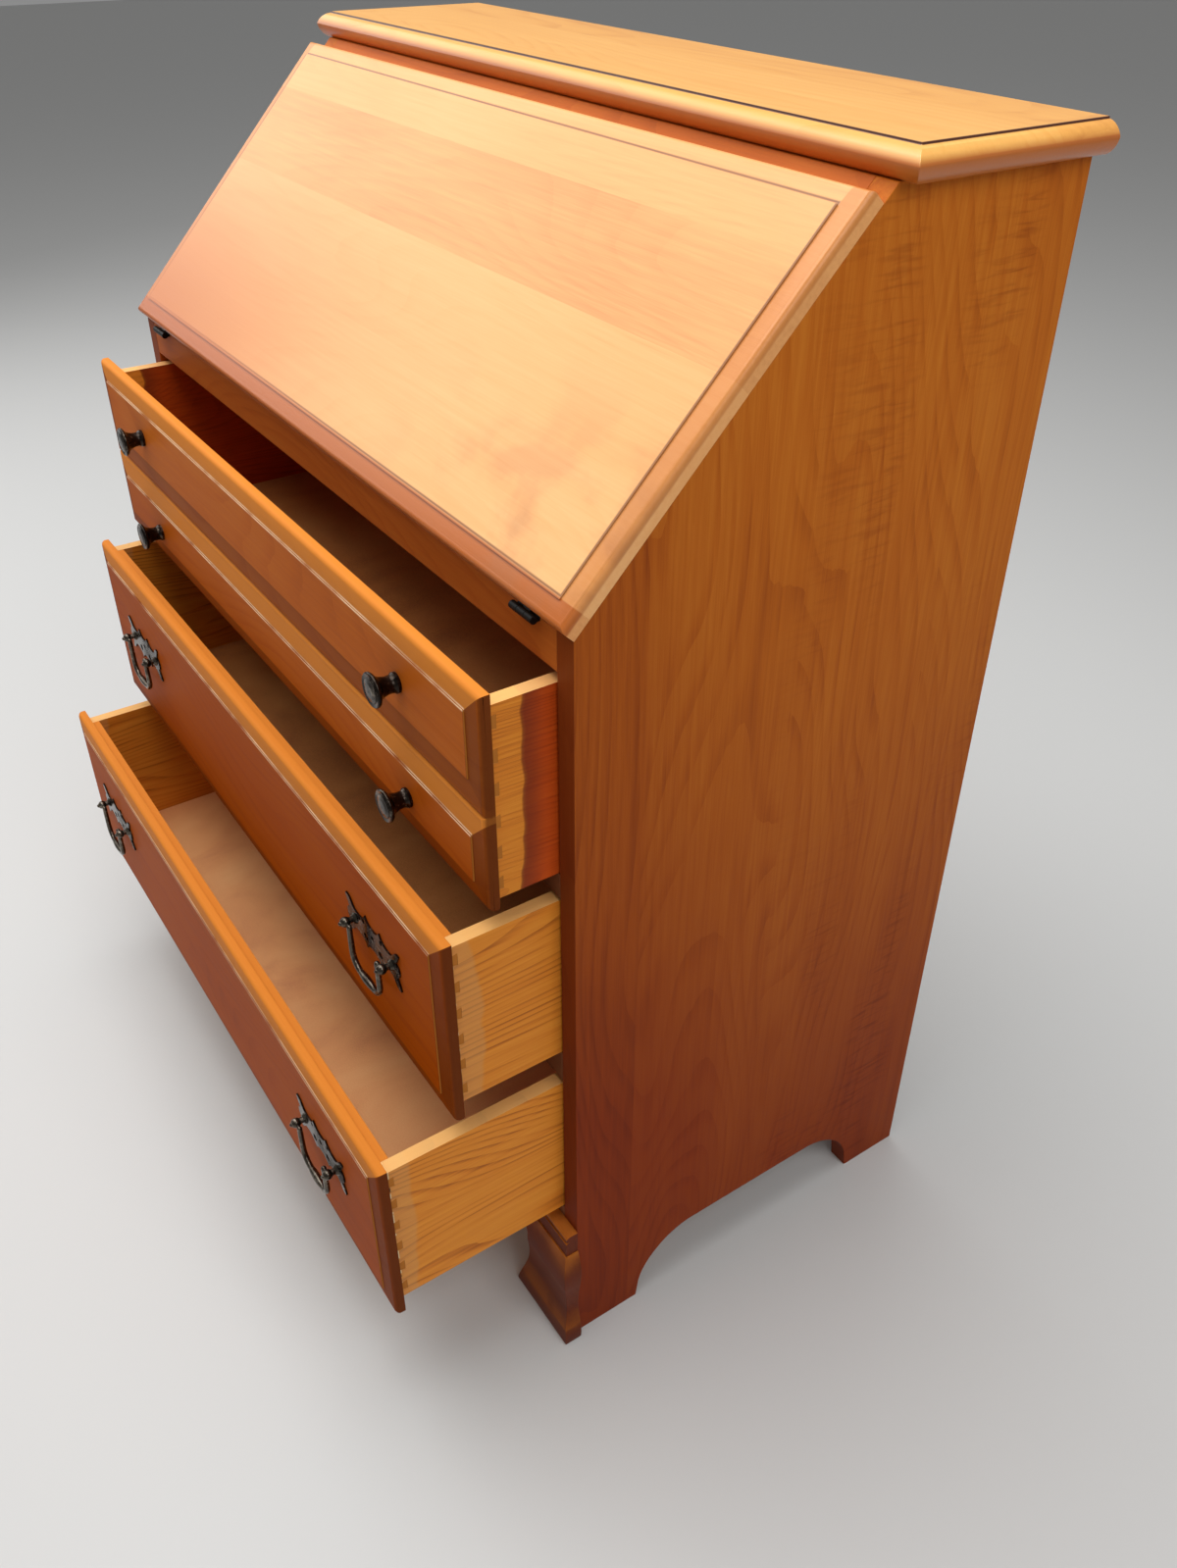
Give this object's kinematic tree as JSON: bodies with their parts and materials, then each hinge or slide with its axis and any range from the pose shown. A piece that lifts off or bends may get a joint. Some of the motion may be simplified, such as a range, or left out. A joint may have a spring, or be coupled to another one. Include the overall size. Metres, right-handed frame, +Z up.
{
  "type": "slant-front secretary desk",
  "caption": "Wooden secretary desk with a slanted fall-front lid over pigeonholes, lipped drawers below with knobs and drop handles, and bracket feet",
  "frame": {"origin": "on the floor, under the middle of the desk as it stands with its drawers partly open", "axes": "+X to the right as one faces the drawers, +Y from front to back, +Z up"},
  "size_m": [0.838, 0.5968, 1.016],
  "materials": {
    "case_maple": "stained maple, satin varnish worn at the edges",
    "lid_maple": "stained maple, worn satin varnish",
    "front_maple": "stained maple, satin varnish",
    "drawer_oak": "plain oak, unvarnished",
    "inner_wood": "plain secondary wood",
    "hardboard": "smooth hardboard, matt",
    "antique_bronze": "dark antiqued, rubbed highlights",
    "black_iron": "blackened",
    "stay_brass": "satin",
    "screw_steel": "satin"
  },
  "bodies": {
    "case": {"side_panel_left": "case_maple", "side_panel_right": "case_maple", "top_board": "case_maple", "top_rail": "case_maple", "front_rail": "case_maple", "writing_board": "case_maple", "upper_divider_rail": "inner_wood", "lower_divider_rail": "inner_wood", "bottom_rail": "inner_wood", "back_panel": "inner_wood", "drawer_runners": "inner_wood", "drawer_kickers": "inner_wood", "base_moulding": "case_maple", "bracket_foot_left": "case_maple", "bracket_foot_right": "case_maple", "glue_blocks": "inner_wood", "hinge_leaves_case": "black_iron", "hinge_pins": "black_iron", "stay_plates_case": "stay_brass", "gallery_ends": "case_maple", "gallery_shelf": "case_maple", "gallery_top": "case_maple", "gallery_dividers": "case_maple"},
    "lid": {"lid_panel": "lid_maple", "hinge_leaves_lid": "black_iron", "stay_brackets_lid": "stay_brass"},
    "case_stays": {"stay_arms_case": "stay_brass"},
    "lid_stays": {"stay_arms_lid": "stay_brass"},
    "top_drawer": {"top_drawer_front": "front_maple", "top_drawer_side_left": "drawer_oak", "top_drawer_side_right": "drawer_oak", "top_drawer_back": "drawer_oak", "top_drawer_bottom": "hardboard", "knobs": "antique_bronze", "knob_screws": "screw_steel"},
    "middle_drawer": {"middle_drawer_front": "front_maple", "middle_drawer_side_left": "drawer_oak", "middle_drawer_side_right": "drawer_oak", "middle_drawer_back": "drawer_oak", "middle_drawer_bottom": "hardboard", "middle_drawer_backplates": "antique_bronze", "middle_drawer_posts": "antique_bronze"},
    "bottom_drawer": {"bottom_drawer_front": "front_maple", "bottom_drawer_side_left": "drawer_oak", "bottom_drawer_side_right": "drawer_oak", "bottom_drawer_back": "drawer_oak", "bottom_drawer_bottom": "hardboard", "bottom_drawer_backplates": "antique_bronze", "bottom_drawer_posts": "antique_bronze"},
    "middle_bail_left": {"middle_drawer_bail_left": "antique_bronze"},
    "middle_bail_right": {"middle_drawer_bail_right": "antique_bronze"},
    "bottom_bail_left": {"bottom_drawer_bail_left": "antique_bronze"},
    "bottom_bail_right": {"bottom_drawer_bail_right": "antique_bronze"},
    "small_drawer_left": {"small_drawer_left_front": "case_maple", "small_drawer_left_tray": "drawer_oak", "small_drawer_left_knob": "antique_bronze"},
    "small_drawer_right": {"small_drawer_right_front": "case_maple", "small_drawer_right_tray": "drawer_oak", "small_drawer_right_knob": "antique_bronze"}
  },
  "joints": [
    {"name": "lid_hinge", "type": "hinge", "parent": "case", "child": "lid", "pos_m": [0, -0.11607, 0.752], "axis": [1, 0, 0], "range_deg": [0, 134.03]},
    {"name": "case_stay_pivot", "type": "hinge", "parent": "case", "child": "case_stays", "pos_m": [0, -0.02947, 0.802], "axis": [1, 0, 0], "range_deg": [0, 134.03]},
    {"name": "lid_stay_pivot", "type": "hinge", "parent": "lid", "child": "lid_stays", "pos_m": [0, -0.01732, 0.83654], "axis": [1, 0, 0], "range_deg": [-134.03, 0]},
    {"name": "top_drawer_slide", "type": "slide", "parent": "case", "child": "top_drawer", "axis": [0, -1, 0], "range_m": [-0.051, 0.2485]},
    {"name": "middle_drawer_slide", "type": "slide", "parent": "case", "child": "middle_drawer", "axis": [0, -1, 0], "range_m": [-0.091, 0.2085]},
    {"name": "bottom_drawer_slide", "type": "slide", "parent": "case", "child": "bottom_drawer", "axis": [0, -1, 0], "range_m": [-0.1595, 0.14]},
    {"name": "middle_bail_left_swing", "type": "hinge", "parent": "middle_drawer", "child": "middle_bail_left", "pos_m": [-0.271, -0.22407, 0.456], "axis": [-1, 0, 0], "range_deg": [0, 95]},
    {"name": "middle_bail_right_swing", "type": "hinge", "parent": "middle_drawer", "child": "middle_bail_right", "pos_m": [0.271, -0.22407, 0.456], "axis": [-1, 0, 0], "range_deg": [0, 95]},
    {"name": "bottom_bail_left_swing", "type": "hinge", "parent": "bottom_drawer", "child": "bottom_bail_left", "pos_m": [-0.271, -0.29257, 0.26], "axis": [-1, 0, 0], "range_deg": [0, 95]},
    {"name": "bottom_bail_right_swing", "type": "hinge", "parent": "bottom_drawer", "child": "bottom_bail_right", "pos_m": [0.271, -0.29257, 0.26], "axis": [-1, 0, 0], "range_deg": [0, 95]},
    {"name": "small_drawer_left_slide", "type": "slide", "parent": "case", "child": "small_drawer_left", "axis": [0, -1, 0], "range_m": [0, 0.12]},
    {"name": "small_drawer_right_slide", "type": "slide", "parent": "case", "child": "small_drawer_right", "axis": [0, -1, 0], "range_m": [0, 0.12]}
  ],
  "couplings": [
    {"joint": "case_stay_pivot", "follows": "lid_hinge", "ratio": 1},
    {"joint": "lid_stay_pivot", "follows": "lid_hinge", "ratio": -1}
  ]
}
